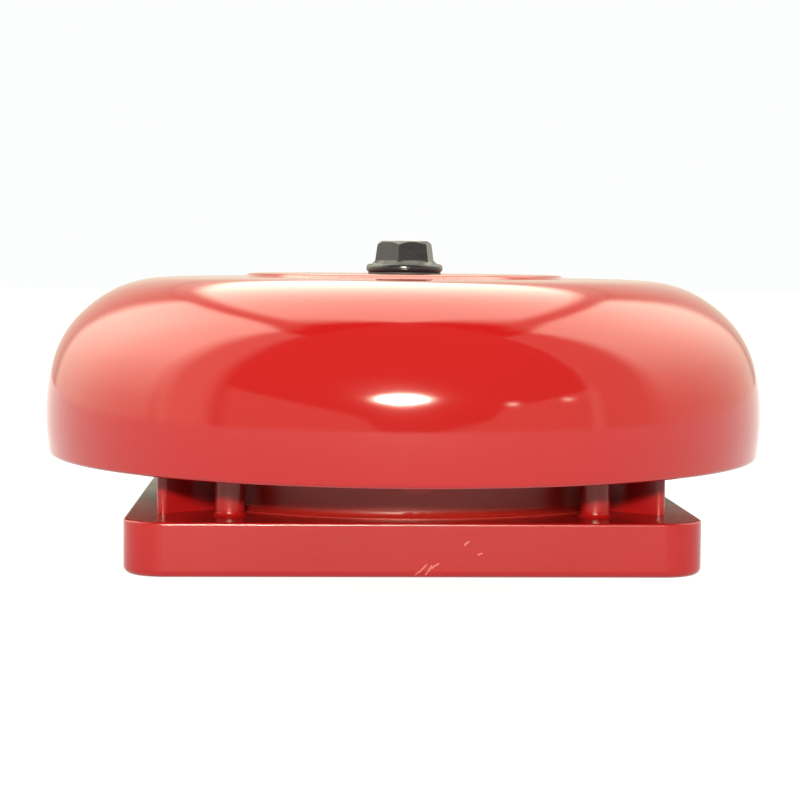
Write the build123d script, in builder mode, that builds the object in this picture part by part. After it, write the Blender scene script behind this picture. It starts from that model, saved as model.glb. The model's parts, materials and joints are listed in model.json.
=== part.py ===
"""Motor-driven fire alarm bell with a six inch gong.

Millimetres. The wall face of the base lies on Z = 0 and the gong's axis is +Z.
The striker comes out towards -Y.
"""

import math
import os

from build123d import *

os.makedirs("parts", exist_ok=True)

UP = (Align.CENTER, Align.CENTER, Align.MIN)
SIDEWAYS = (Align.MIN, Align.CENTER, Align.MIN)

# Base slab with its moulded posts and lugs
BASE_SIDE = 110
BASE_H = 10.35
BASE_CORNER_R = 8
BASE_WALL = 2.5
BASE_TOP_EDGE_R = 0.5
BASE_BACK_EDGE_R = 1.3
CEILING_Z = BASE_H - BASE_WALL
RIB_W = 1.5
RIB_H = 2.4
RIB_PITCH = 26
POST_X, POST_Y = 35.1, 43.5
POST_R = 2.9
POST_TOP_Z = 34
POST_FOOT_R = 0.5
SCREW_CORE_R = 1.25
COVER_SCREW_DEPTH = 12
LUG_SIDE_X = 49.2
LUG_OUTER_Y = 43
LUG_INNER_Y = 22
LUG_TIP = (38.1, 34.5)
LUG_BORE_R = 51.2
LUG_CORNER_R = 1.2
LUG_TOP_Z = 34
WALL_HOLE_X, WALL_HOLE_Y = 44.8, 33.3
WALL_HOLE_R = 2.3
WALL_HEAD_R = 3.6
WALL_SEAT_Z = 14
WALL_BOSS_R = 4.6
PILOT_BOSS_R = 3.2
PILOT_BOSS_Z = 5.6
PILOT_END_Z = 7

# Mechanism cover
COVER_R = 49.4
COVER_WALL = 2.4
COVER_TOP_Z = 45
COVER_ROOF = 2.6
COVER_CEILING_Z = COVER_TOP_Z - COVER_ROOF
COVER_EDGE_R = 3
FOOT_R = 50.6
FOOT_H = 0.3
FOOT_FLARE_R = 1.1
GASKET_R, GASKET_BORE_R = 48.9, 47.9
GASKET_H = 1.2
EAR_R = 4.4
EAR_H = 2.8
EAR_HOLE_R = 1.6
HUB_R, HUB_TOP_R = 11, 8
HUB_TOP_Z = 49.5
HUB_RIB_R = 24
HUB_RIB_W = 2
HUB_RIB_H = 3
STUD_HOLE_R = 3

# Striker line, which runs towards -Y through the cover's front boss
STRIKE_Z = 22
GUIDE_BOSS_R = 5.9
GUIDE_BOSS_END = 58
GUIDE_PAD_IN = 45.8
GUIDE_PAD_W = 15
GUIDE_PAD_H = 14
GUIDE_PAD_T = 2
BUSH_R = 4
BUSH_FLANGE_R = 6
BUSH_FLANGE_H = 1.5
ROD_R = 2.5
ROD_RUN = 0.05
HEAD_TIP = 31.5
HEAD_STEM_R = 2
HEAD_FLANGE_START = 34.7
HEAD_FLANGE_R = 4
HEAD_BACK = 36.3
NOSE_R = 3.3
NOSE_START = 63.6
NOSE_END = 70
NOSE_SOCKET = 3
CLIP_R = 4.4
CLIP_H = 0.8
BUMPER_R = 4.1
BUMPER_H = 1.2
STOP_GAP = 0.1
SPRING_WIRE_R = 0.35
SPRING_R = 3.55
SPRING_TURNS = 4
SPRING_GAP = 0.05

# Motor and striker wheel
MOTOR_Y = -18.5
PLATE_Z = 26.4
PLATE_H = 1.2
PLATE_X, PLATE_Y = 44, 32
PLATE_MID_Y = -18
PLATE_CORNER_R = 4
PILLAR_X = 17
PILLAR_YS = (-29, -7)
PILLAR_R = 3
CAN_R = 12.2
CAN_WALL = 0.9
CAN_EDGE_R = 0.6
CAN_Z = PLATE_Z + PLATE_H
CAN_TOP_Z = 39.6
END_CAP_H = 1.8
MAGNET_R, MAGNET_BORE_R = 11.3, 9.7
MAGNET_Z, MAGNET_TOP_Z = 29, 38.4
MAGNET_GAP = 5
SHAFT_R = 1.25
SHAFT_RUN = 0.03
SHAFT_Z, SHAFT_TOP_Z = 14, 40.9
MOTOR_BUSH_R = 3.5
MOTOR_BUSH_Z = 25.4
MOTOR_BUSH_NECK_R = 2.6
MOTOR_BUSH_TOP_Z = 30
MOTOR_SCREW_X = 8
MOTOR_SCREW_R = 1
MOTOR_SCREW_TOP_Z = 28.3
CORE_R = 9.2
CORE_POLE_W = 3.6
CORE_SHOE_H = 1.4
CORE_HUB_R = 3
CORE_Z, CORE_TOP_Z = 31, 36.4
POLE_ANGLES = (30, 150, 270)
WINDING_IN, WINDING_OUT = 3.9, 7.3
WINDING_W = 5.2
WINDING_OVERHANG = 1.4
COMMUTATOR_R = 2.4
COMMUTATOR_Z, COMMUTATOR_TOP_Z = 38, 39.4
TAB_OUT = 15.6
TAB_Y = 4
TAB_W = 2
TAB_Z = 40.2
TAB_H = 0.4
WHEEL_R = 14.4
WHEEL_Z, WHEEL_TOP_Z = 13.6, 16.6
WHEEL_HUB_R = 3.5
WHEEL_HUB_TOP_Z = 24.6
WEIGHT_Z = 12
WEIGHT_IN_R = 6.5
CRANK_R = 12
CRANK_ANGLE = -45
CRANK_X = CRANK_R * math.cos(math.radians(CRANK_ANGLE))
CRANK_Y = MOTOR_Y + CRANK_R * math.sin(math.radians(CRANK_ANGLE))
PIN_R = 1
PIN_Z, PIN_TOP_Z = 14.2, 25.7
PIN_EDGE = 0.2
PIN_SEAT_R = 2
PIN_SEAT_Z = 18.7
ROLLER_R = 2.2
ROLLER_RUN = 0.05
ROLLER_EDGE_R = 0.3
ROLLER_Z, ROLLER_TOP_Z = 18.8, 24.8
PIN_CLIP_R = 1.9
PIN_CLIP_Z = 24.9
PIN_CLIP_H = 0.5

# Gong and the stack that holds it
RIM_Z = 18.8
GONG_T = 1.9
GONG_SHOULDER = [
    (74.5, 0.9),
    (75, 6),
    (74.95, 11.5),
    (74.2, 17.2),
    (72.6, 22.2),
    (69.9, 26.8),
    (66, 30.8),
    (61.2, 34),
    (55.5, 36),
    (48, 36.8),
]
GONG_FLAT = (36.2, 36.95)
GONG_RAISED = (32.8, 37.6)
GONG_HOLE_R = 3.3
PLATEAU_Z = RIM_Z + GONG_RAISED[1]
STUD_R = 2.95
STUD_END_Z = 61.3
STUD_HEAD_ACROSS = 10
STUD_HEAD_H = 3
LOCK_NUT_H = 3.2
NUT_BORE_R = 3
WASHER_R = 9
WASHER_H = 0.8
FIBRE_R = 10
CAP_WASHER_R = 7.7
CAP_WASHER_H = 0.4
FLANGE_R = 8.1
FLANGE_H = 1.8
FLANGE_EDGE_R = 0.8
SKIRT_R, SKIRT_TOP_R = 7, 6.2
SKIRT_H = 0.7
HEX_R, HEX_TOP_R = 6.65, 5.95
HEX_TURN = 16
NUT_TOP_Z = 63.4
NUT_CROWN_R = 4.9
NUT_CROWN_H = 1.6
NUT_CROWN_SLOPE = 1.2
INSERT_R = 4.2
INSERT_H = 4.2

# Circuit board, terminals and cable entry
BOARD_X, BOARD_Y, BOARD_H = 46, 26, 1.6
BOARD_CORNER_R = 1
BOARD_MID_Y = 21
BOARD_Z = 18
BOARD_HOLE_X, BOARD_HOLE_Y = 19.5, 9.5
BOARD_POST_R = 3
BOARD_TOP_Z = BOARD_Z + BOARD_H
BLOCK_X, BLOCK_Y, BLOCK_H = 22, 10, 9.4
BLOCK_MID_Y = 28
WAYS = 4
WAY_PITCH = 5.08
WIRE_HOLE_R = 1.5
WIRE_HOLE_DEPTH = 6
WIRE_HOLE_Z = BOARD_TOP_Z + 2.8
TERMINAL_SCREW_R = 1.6
TERMINAL_WELL = 4.2
TERMINAL_TOP_Z = BOARD_TOP_Z + 7.8
CAPACITOR_R, CAPACITOR_H = 4, 11
CAPACITOR_AT = (-13, 15.4)
DIODE_R, DIODE_LEN, DIODE_LEAD_R = 1.35, 5.2, 0.4
DIODE_SPAN, DIODE_PITCH = 4.6, 3.4
DIODE_LIFT = 0.3
DIODE_AT = (3, 15.6)
SUPPRESSOR_R, SUPPRESSOR_T = 4.4, 3.2
SUPPRESSOR_EDGE_R = 0.7
SUPPRESSOR_LIFT = 0.4
SUPPRESSOR_PITCH = 5
SUPPRESSOR_AT = (-3.6, 17)
LEAD_R = 0.65
LEAD_LIFT = 0.02
LEAD_INSET = 1.4
LEAD_BEND = 5
LEAD_DROP = 2
LEAD_LOW_Z = 30
LEAD_ENDS = {"lead_red": (1, 14.6), "lead_black": (-1, 11.6)}
CABLE_Y = 41
CABLE_HOLE_R = 4.4
GROMMET_FLANGE_R = 5.6
GROMMET_LIP_H = 1.2
GROMMET_BORE_R = 3

# Screw heads
M3_HEAD_R, M3_HEAD_TOP_R, M3_HEAD_H = 2.8, 2, 2
M3_HOLE_R = 1.55
DRIVE_W, DRIVE_DEPTH = 0.8, 0.9
SLOT_W, SLOT_DEPTH = 0.5, 0.4

# Broken edges and end gaps that many pieces share
EDGE = 0.4
END_GAP = 0.2

# Two measures closer than this are the same
SAME = 0.01

FOUR = [(sx, sy) for sx in (-1, 1) for sy in (-1, 1)]
POSTS = [(sx * POST_X, sy * POST_Y) for sx, sy in FOUR]
WALL_HOLES = [(sx * WALL_HOLE_X, sy * WALL_HOLE_Y) for sx, sy in FOUR]
PILLARS = [(sx * PILLAR_X, y) for sx in (-1, 1) for y in PILLAR_YS]
BOARD_HOLES = [(sx * BOARD_HOLE_X, BOARD_MID_Y + sy * BOARD_HOLE_Y) for sx, sy in FOUR]
WAY_XS = [(i - (WAYS - 1) / 2) * WAY_PITCH for i in range(WAYS)]


def rod_up(radius, low, high, mode=Mode.ADD):
    """A round bar along +Z at the current locations."""
    with Locations((0, 0, low)):
        Cylinder(radius, high - low, align=UP, mode=mode)


def tube_up(radius, bore, low, high):
    """A round bar with a hole through it."""
    rod_up(radius, low, high)
    rod_up(bore, low, high, Mode.SUBTRACT)


def rod_out(radius, start, end, mode=Mode.ADD):
    """A round bar on the striker line, from Y = -start to Y = -end."""
    with Locations(Location((0, -start, STRIKE_Z), (90, 0, 0))):
        Cylinder(radius, end - start, align=UP, mode=mode)


def cross_headed_screw(head_z, tip_z, radius):
    """A domed screw pointing down, with a cross in its head, at the current locations."""
    with Locations((0, 0, head_z)):
        Cone(M3_HEAD_R, M3_HEAD_TOP_R, M3_HEAD_H, align=UP)
    rod_up(radius, tip_z, head_z)
    with Locations((0, 0, head_z + M3_HEAD_H - DRIVE_DEPTH)):
        Box(M3_HEAD_R, DRIVE_W, M3_HEAD_H, align=UP, mode=Mode.SUBTRACT)
        Box(DRIVE_W, M3_HEAD_R, M3_HEAD_H, align=UP, mode=Mode.SUBTRACT)


def inward(points, gap):
    """The same run of points moved to its left by gap."""
    moved = []
    for i, (x, z) in enumerate(points):
        x0, z0 = points[max(i - 1, 0)]
        x1, z1 = points[min(i + 1, len(points) - 1)]
        run = math.hypot(x1 - x0, z1 - z0)
        moved.append((x - gap * (z1 - z0) / run, z + gap * (x1 - x0) / run))
    return moved


def save(part, label):
    part.label = label
    export_step(part, f"parts/{label}.step")


# Base: open-backed slab, four screw posts, four hollow lugs over the wall screws
with BuildPart() as base:
    with BuildSketch():
        RectangleRounded(BASE_SIDE, BASE_SIDE, BASE_CORNER_R)
    extrude(amount=BASE_H)
    fillet(base.faces().sort_by(Axis.Z)[-1].edges(), BASE_TOP_EDGE_R)
    fillet(base.faces().sort_by(Axis.Z)[0].edges(), BASE_BACK_EDGE_R)
    with BuildSketch():
        RectangleRounded(BASE_SIDE - 2 * BASE_WALL, BASE_SIDE - 2 * BASE_WALL, BASE_CORNER_R - BASE_WALL)
    extrude(amount=CEILING_Z, mode=Mode.SUBTRACT)
    for spot in (-RIB_PITCH, RIB_PITCH):
        with Locations((0, spot, CEILING_Z - RIB_H)):
            Box(BASE_SIDE - BASE_WALL, RIB_W, RIB_H, align=UP)
        with Locations((spot, 0, CEILING_Z - RIB_H)):
            Box(RIB_W, BASE_SIDE - BASE_WALL, RIB_H, align=UP)
    for sx, sy in FOUR:
        with BuildSketch(Plane.XY.offset(CEILING_Z)):
            with BuildLine():
                Polyline(
                    (sx * LUG_SIDE_X, sy * LUG_INNER_Y),
                    (sx * LUG_SIDE_X, sy * LUG_OUTER_Y),
                    (sx * LUG_TIP[0], sy * LUG_TIP[1]),
                    (0, 0),
                    close=True,
                )
            make_face()
            Circle(LUG_BORE_R, mode=Mode.SUBTRACT)
        extrude(amount=LUG_TOP_Z - CEILING_Z)
    outer_lug_edges = [
        edge
        for edge in base.edges().filter_by(Axis.Z)
        if abs(abs(edge.center().X) - LUG_SIDE_X) < SAME and abs(abs(edge.center().Y) - LUG_OUTER_Y) < SAME
    ]
    fillet(outer_lug_edges, LUG_CORNER_R)
    with Locations(*WALL_HOLES):
        rod_up(WALL_BOSS_R, 0, CEILING_Z)
        rod_up(WALL_HOLE_R, 0, WALL_SEAT_Z, Mode.SUBTRACT)
        rod_up(WALL_HEAD_R, WALL_SEAT_Z, LUG_TOP_Z, Mode.SUBTRACT)
    with Locations(*POSTS):
        rod_up(POST_R, CEILING_Z, POST_TOP_Z)
        with Locations((0, 0, BASE_H)):
            Cone(POST_R + POST_FOOT_R, POST_R, POST_FOOT_R, align=UP)
        rod_up(SCREW_CORE_R, POST_TOP_Z - COVER_SCREW_DEPTH, POST_TOP_Z, Mode.SUBTRACT)
    with Locations(*PILLARS):
        rod_up(PILOT_BOSS_R, PILOT_BOSS_Z, CEILING_Z)
        rod_up(SCREW_CORE_R, PILOT_END_Z, BASE_H, Mode.SUBTRACT)
    with Locations(*BOARD_HOLES):
        rod_up(BOARD_POST_R, CEILING_Z, BOARD_Z)
        rod_up(SCREW_CORE_R, BASE_H, BOARD_Z, Mode.SUBTRACT)
    with Locations((0, CABLE_Y)):
        rod_up(CABLE_HOLE_R, CEILING_Z, BASE_H, Mode.SUBTRACT)
save(base.part, "base")

# Cable grommet, held in the slab's top wall by a lip on each face
with BuildPart() as cable_grommet:
    with Locations((0, CABLE_Y)):
        rod_up(GROMMET_FLANGE_R, CEILING_Z - GROMMET_LIP_H, CEILING_Z)
        rod_up(CABLE_HOLE_R, CEILING_Z, BASE_H)
        rod_up(GROMMET_FLANGE_R, BASE_H, BASE_H + GROMMET_LIP_H)
        rod_up(GROMMET_BORE_R, CEILING_Z - GROMMET_LIP_H, BASE_H + GROMMET_LIP_H, Mode.SUBTRACT)
save(cable_grommet.part, "cable_grommet")

# Gasket in a groove in the cover's foot, pressed on the slab
with BuildPart() as cover_gasket:
    tube_up(GASKET_R, GASKET_BORE_R, BASE_H, BASE_H + GASKET_H)
save(cover_gasket.part, "cover_gasket")

# Mechanism cover: inverted cup with a flared foot, four ears, the striker boss and the gong hub
with BuildPart() as mechanism_cover:
    rod_up(COVER_R, BASE_H, COVER_TOP_Z)
    fillet(mechanism_cover.faces().sort_by(Axis.Z)[-1].edges(), COVER_EDGE_R)
    rod_up(FOOT_R, BASE_H, BASE_H + FOOT_H)
    foot_corners = [
        edge
        for edge in mechanism_cover.edges().filter_by(GeomType.CIRCLE)
        if abs(edge.radius - COVER_R) < SAME and abs(edge.center().Z - BASE_H - FOOT_H) < SAME
    ]
    fillet(foot_corners, FOOT_FLARE_R)
    rod_out(GUIDE_BOSS_R, GUIDE_PAD_IN, GUIDE_BOSS_END)
    for x, y in POSTS:
        reach = math.hypot(x, y)
        turn = math.degrees(math.atan2(y, x))
        with BuildSketch(Plane.XY.offset(POST_TOP_Z)):
            with Locations((x, y)):
                Circle(EAR_R)
            with Locations(Location((0, 0), turn)):
                with Locations((reach - EAR_R, 0)):
                    Rectangle(2 * EAR_R, 2 * EAR_R)
        extrude(amount=EAR_H)
    with Locations(*POSTS):
        rod_up(EAR_HOLE_R, POST_TOP_Z, POST_TOP_Z + EAR_H, Mode.SUBTRACT)
    rod_up(COVER_R - COVER_WALL, BASE_H, COVER_CEILING_Z, Mode.SUBTRACT)
    with BuildSketch(Plane.XY.offset(BASE_H)):
        Circle(GASKET_R)
        Circle(GASKET_BORE_R, mode=Mode.SUBTRACT)
    extrude(amount=GASKET_H, mode=Mode.SUBTRACT)
    with Locations((0, -GUIDE_PAD_IN, STRIKE_Z)):
        Box(GUIDE_PAD_W, GUIDE_PAD_T, GUIDE_PAD_H, align=(Align.CENTER, Align.MAX, Align.CENTER))
    rod_out(BUSH_R, GUIDE_PAD_IN, GUIDE_BOSS_END, Mode.SUBTRACT)
    with Locations((0, 0, COVER_TOP_Z)):
        Cone(HUB_R, HUB_TOP_R, HUB_TOP_Z - COVER_TOP_Z, align=UP)
        for turn in (0, 60, 120):
            with Locations(Location((0, 0, 0), (0, 0, turn))):
                Box(2 * HUB_RIB_R, HUB_RIB_W, HUB_RIB_H, align=UP)
    rod_up(STUD_HOLE_R, COVER_CEILING_Z, HUB_TOP_Z, Mode.SUBTRACT)
save(mechanism_cover.part, "mechanism_cover")

# Screws that hold the cover's ears to the posts
with BuildPart() as cover_screws:
    with Locations(*POSTS):
        cross_headed_screw(POST_TOP_Z + EAR_H, POST_TOP_Z - COVER_SCREW_DEPTH + 1, SCREW_CORE_R)
save(cover_screws.part, "cover_screws")

# Gong stud with its hexagon head under the cover's roof
with BuildPart() as gong_stud:
    with BuildSketch(Plane.XY.offset(COVER_CEILING_Z - STUD_HEAD_H)):
        RegularPolygon(STUD_HEAD_ACROSS / 2, 6, major_radius=False)
    extrude(amount=STUD_HEAD_H)
    rod_up(STUD_R, COVER_CEILING_Z, STUD_END_Z)
    chamfer(gong_stud.faces().sort_by(Axis.Z)[-1].edges(), EDGE)
save(gong_stud.part, "gong_stud")

# Lock nut on the hub, then the steel and fibre washers under the gong
with BuildPart() as lock_nut:
    with BuildSketch(Plane.XY.offset(HUB_TOP_Z)):
        RegularPolygon(STUD_HEAD_ACROSS / 2, 6, major_radius=False)
        Circle(NUT_BORE_R, mode=Mode.SUBTRACT)
    extrude(amount=LOCK_NUT_H)
save(lock_nut.part, "lock_nut")

WASHER_Z = HUB_TOP_Z + LOCK_NUT_H
FIBRE_Z = WASHER_Z + WASHER_H
with BuildPart() as gong_washer:
    tube_up(WASHER_R, NUT_BORE_R, WASHER_Z, FIBRE_Z)
save(gong_washer.part, "gong_washer")

with BuildPart() as fibre_washer:
    tube_up(FIBRE_R, NUT_BORE_R, FIBRE_Z, PLATEAU_Z - GONG_T)
save(fibre_washer.part, "fibre_washer")

# Gong: one pressed shell of even thickness with a raised centre
with BuildPart() as gong:
    shoulder = [(r, RIM_Z + z) for r, z in GONG_SHOULDER]
    lining = inward(shoulder, GONG_T)
    lip = (shoulder[0][0] - GONG_T / 2, RIM_Z)
    raised_r, flat_r = GONG_RAISED[0], GONG_FLAT[0]
    flat_z = RIM_Z + GONG_FLAT[1]
    with BuildSketch(Plane.XZ):
        with BuildLine():
            Spline(*shoulder)
            Polyline(shoulder[-1], (flat_r, flat_z), (raised_r, PLATEAU_Z), (GONG_HOLE_R, PLATEAU_Z))
            Line((GONG_HOLE_R, PLATEAU_Z), (GONG_HOLE_R, PLATEAU_Z - GONG_T))
            Polyline(
                (GONG_HOLE_R, PLATEAU_Z - GONG_T),
                (raised_r - GONG_T / 3, PLATEAU_Z - GONG_T),
                (flat_r - GONG_T / 3, flat_z - GONG_T),
                lining[-1],
            )
            Spline(*reversed(lining))
            ThreePointArc(lining[0], lip, shoulder[0])
        make_face()
    revolve(axis=Axis.Z)
save(gong.part, "gong")

# Cap nut: rubber washer, brass insert and the black moulded body
FLANGE_Z = PLATEAU_Z + CAP_WASHER_H
with BuildPart() as cap_washer:
    tube_up(CAP_WASHER_R, NUT_BORE_R, PLATEAU_Z, FLANGE_Z)
save(cap_washer.part, "cap_washer")

with BuildPart() as nut_insert:
    tube_up(INSERT_R, NUT_BORE_R, FLANGE_Z, FLANGE_Z + INSERT_H)
save(nut_insert.part, "nut_insert")

FLANGE_TOP_Z = FLANGE_Z + FLANGE_H
with BuildPart() as cap_nut:
    with BuildSketch(Plane.XY.offset(FLANGE_TOP_Z)):
        RegularPolygon(HEX_R, 6, rotation=HEX_TURN)
    with BuildSketch(Plane.XY.offset(NUT_TOP_Z)):
        RegularPolygon(HEX_TOP_R, 6, rotation=HEX_TURN)
    loft()
    with BuildSketch(Plane.XZ):
        with BuildLine():
            Polyline(
                (0, FLANGE_TOP_Z),
                (FLANGE_R, FLANGE_TOP_Z),
                (FLANGE_R, NUT_TOP_Z - NUT_CROWN_H),
                (NUT_CROWN_R + NUT_CROWN_SLOPE, NUT_TOP_Z - NUT_CROWN_H / 2),
                (NUT_CROWN_R, NUT_TOP_Z),
                (0, NUT_TOP_Z),
                close=True,
            )
        make_face()
    revolve(axis=Axis.Z, mode=Mode.INTERSECT)
    with Locations((0, 0, FLANGE_TOP_Z)):
        Cone(SKIRT_R, SKIRT_TOP_R, SKIRT_H, align=UP)
    rod_up(FLANGE_R, FLANGE_Z, FLANGE_TOP_Z)
    rims = [
        edge
        for edge in cap_nut.edges().filter_by(GeomType.CIRCLE)
        if abs(edge.radius - FLANGE_R) < SAME
    ]
    fillet(rims, FLANGE_EDGE_R)
    rod_up(INSERT_R, FLANGE_Z, FLANGE_Z + INSERT_H, Mode.SUBTRACT)
    rod_up(NUT_BORE_R, FLANGE_Z, STUD_END_Z + END_GAP, Mode.SUBTRACT)
save(cap_nut.part, "cap_nut")

# Motor plate on four spacers, screwed into the base
with BuildPart() as motor_plate:
    with BuildSketch(Plane.XY.offset(PLATE_Z)):
        with Locations((0, PLATE_MID_Y)):
            RectangleRounded(PLATE_X, PLATE_Y, PLATE_CORNER_R)
        with Locations((0, MOTOR_Y)):
            Circle(MOTOR_BUSH_R, mode=Mode.SUBTRACT)
        with Locations(*PILLARS):
            Circle(M3_HOLE_R, mode=Mode.SUBTRACT)
    extrude(amount=PLATE_H)
    with Locations((-MOTOR_SCREW_X, MOTOR_Y, PLATE_Z), (MOTOR_SCREW_X, MOTOR_Y, PLATE_Z)):
        Cone(2 * MOTOR_SCREW_R, MOTOR_SCREW_R, PLATE_H, align=UP, mode=Mode.SUBTRACT)
save(motor_plate.part, "motor_plate")

with BuildPart() as plate_spacers:
    with Locations(*PILLARS):
        tube_up(PILLAR_R, M3_HOLE_R, BASE_H, PLATE_Z)
save(plate_spacers.part, "plate_spacers")

with BuildPart() as plate_screws:
    with Locations(*PILLARS):
        cross_headed_screw(PLATE_Z + PLATE_H, PILOT_END_Z + END_GAP, SCREW_CORE_R)
save(plate_screws.part, "plate_screws")

# Motor: can, magnets, end cap with two tabs, front bush and fixing screws
with BuildPart() as motor_can:
    with Locations((0, MOTOR_Y)):
        tube_up(CAN_R, CAN_R - CAN_WALL, CAN_Z, CAN_TOP_Z)
        rod_up(CAN_R - CAN_WALL, CAN_Z, CAN_Z + CAN_WALL)
        rod_up(MOTOR_BUSH_NECK_R, CAN_Z, CAN_Z + CAN_WALL, Mode.SUBTRACT)
    with Locations((-MOTOR_SCREW_X, MOTOR_Y), (MOTOR_SCREW_X, MOTOR_Y)):
        rod_up(MOTOR_SCREW_R, CAN_Z, CAN_Z + CAN_WALL, Mode.SUBTRACT)
    fillet(motor_can.faces().filter_by(Plane.XY).sort_by(Axis.Z)[0].outer_wire().edges(), CAN_EDGE_R)
save(motor_can.part, "motor_can")

with BuildPart() as motor_magnets:
    with Locations((0, MOTOR_Y)):
        tube_up(MAGNET_R, MAGNET_BORE_R, MAGNET_Z, MAGNET_TOP_Z)
        with Locations((0, 0, MAGNET_Z)):
            Box(MAGNET_GAP, 3 * MAGNET_R, MAGNET_TOP_Z - MAGNET_Z, align=UP, mode=Mode.SUBTRACT)
save(motor_magnets.part, "motor_magnets")

with BuildPart() as motor_end_cap:
    with Locations((0, MOTOR_Y)):
        rod_up(CAN_R, CAN_TOP_Z, CAN_TOP_Z + END_CAP_H)
        rod_up(SHAFT_R + SHAFT_RUN, CAN_TOP_Z, SHAFT_TOP_Z + END_GAP, Mode.SUBTRACT)
    chamfer(motor_end_cap.faces().sort_by(Axis.Z)[-1].edges(), EDGE)
save(motor_end_cap.part, "motor_end_cap")

with BuildPart() as motor_terminals:
    for side in (-1, 1):
        with Locations((0, MOTOR_Y + side * TAB_Y, TAB_Z)):
            Box(TAB_OUT, TAB_W, TAB_H, align=SIDEWAYS)
    with Locations((0, MOTOR_Y)):
        rod_up(CAN_R, CAN_TOP_Z, CAN_TOP_Z + END_CAP_H, Mode.SUBTRACT)
save(motor_terminals.part, "motor_terminals")

with BuildPart() as motor_bush:
    with Locations((0, MOTOR_Y)):
        rod_up(MOTOR_BUSH_R, MOTOR_BUSH_Z, CAN_Z)
        rod_up(MOTOR_BUSH_NECK_R, CAN_Z, MOTOR_BUSH_TOP_Z)
        rod_up(SHAFT_R + SHAFT_RUN, MOTOR_BUSH_Z, MOTOR_BUSH_TOP_Z, Mode.SUBTRACT)
save(motor_bush.part, "motor_bush")

with BuildPart() as motor_screws:
    with Locations((-MOTOR_SCREW_X, MOTOR_Y, PLATE_Z), (MOTOR_SCREW_X, MOTOR_Y, PLATE_Z)):
        Cone(2 * MOTOR_SCREW_R, MOTOR_SCREW_R, PLATE_H, align=UP)
        Box(3 * MOTOR_SCREW_R, SLOT_W, SLOT_DEPTH, align=UP, mode=Mode.SUBTRACT)
    with Locations((-MOTOR_SCREW_X, MOTOR_Y), (MOTOR_SCREW_X, MOTOR_Y)):
        rod_up(MOTOR_SCREW_R, CAN_Z, MOTOR_SCREW_TOP_Z)
save(motor_screws.part, "motor_screws")

# Motor's turning parts: shaft, three-pole core, windings and commutator
with BuildPart() as motor_shaft:
    with Locations((0, MOTOR_Y)):
        rod_up(SHAFT_R, SHAFT_Z, SHAFT_TOP_Z)
    chamfer(motor_shaft.faces().sort_by(Axis.Z)[0].edges(), EDGE)
save(motor_shaft.part, "motor_shaft")

with BuildPart() as armature_core:
    with BuildSketch(Plane.XY.offset(CORE_Z)):
        with Locations((0, MOTOR_Y)):
            Circle(CORE_R)
            Circle(CORE_R - CORE_SHOE_H, mode=Mode.SUBTRACT)
        for turn in POLE_ANGLES:
            with Locations(Location((0, MOTOR_Y), turn + 60)):
                Rectangle(2 * CORE_R, CORE_POLE_W / 2, align=(Align.MIN, Align.CENTER), mode=Mode.SUBTRACT)
        for turn in POLE_ANGLES:
            with Locations(Location((0, MOTOR_Y), turn)):
                Rectangle(CORE_R - CORE_SHOE_H / 2, CORE_POLE_W, align=(Align.MIN, Align.CENTER))
        with Locations((0, MOTOR_Y)):
            Circle(CORE_HUB_R)
            Circle(SHAFT_R, mode=Mode.SUBTRACT)
    extrude(amount=CORE_TOP_Z - CORE_Z)
save(armature_core.part, "armature_core")

with BuildPart() as armature_windings:
    for turn in POLE_ANGLES:
        with Locations(Location((0, MOTOR_Y, (CORE_Z + CORE_TOP_Z) / 2), (0, 0, turn))):
            with Locations(((WINDING_IN + WINDING_OUT) / 2, 0, 0)):
                Box(
                    WINDING_OUT - WINDING_IN,
                    WINDING_W,
                    CORE_TOP_Z - CORE_Z + 2 * WINDING_OVERHANG,
                )
                Box(WINDING_OUT - WINDING_IN, CORE_POLE_W, CORE_TOP_Z - CORE_Z, mode=Mode.SUBTRACT)
save(armature_windings.part, "armature_windings")

with BuildPart() as commutator:
    with Locations((0, MOTOR_Y)):
        tube_up(COMMUTATOR_R, SHAFT_R, COMMUTATOR_Z, COMMUTATOR_TOP_Z)
        for turn in POLE_ANGLES:
            with Locations(Location((0, 0, COMMUTATOR_Z), (0, 0, turn))):
                with Locations((COMMUTATOR_R, 0, 0)):
                    Box(2 * SLOT_DEPTH, SLOT_W, COMMUTATOR_TOP_Z - COMMUTATOR_Z, align=UP, mode=Mode.SUBTRACT)
save(commutator.part, "commutator")

# Striker wheel with its counterweight underneath, crank pin, free roller and retaining clip
with BuildPart() as striker_wheel:
    with Locations((0, MOTOR_Y)):
        rod_up(WHEEL_R, WHEEL_Z, WHEEL_TOP_Z)
        rod_up(WHEEL_HUB_R, WHEEL_TOP_Z, WHEEL_HUB_TOP_Z)
    with Locations((CRANK_X, CRANK_Y)):
        rod_up(PIN_SEAT_R, WHEEL_TOP_Z, PIN_SEAT_Z)
    with BuildSketch(Plane.XY.offset(WEIGHT_Z)):
        with Locations((0, MOTOR_Y)):
            Circle(WHEEL_R)
        with Locations(Location((0, MOTOR_Y), CRANK_ANGLE)):
            with Locations((-WEIGHT_IN_R, 0)):
                Rectangle(2 * WHEEL_R, 2 * WHEEL_R, align=(Align.MIN, Align.CENTER), mode=Mode.SUBTRACT)
    extrude(amount=WHEEL_Z - WEIGHT_Z)
    with Locations((0, MOTOR_Y)):
        rod_up(SHAFT_R, SHAFT_Z, WHEEL_HUB_TOP_Z, Mode.SUBTRACT)
    with Locations((CRANK_X, CRANK_Y)):
        rod_up(PIN_R, PIN_Z, PIN_SEAT_Z, Mode.SUBTRACT)
save(striker_wheel.part, "striker_wheel")

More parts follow.
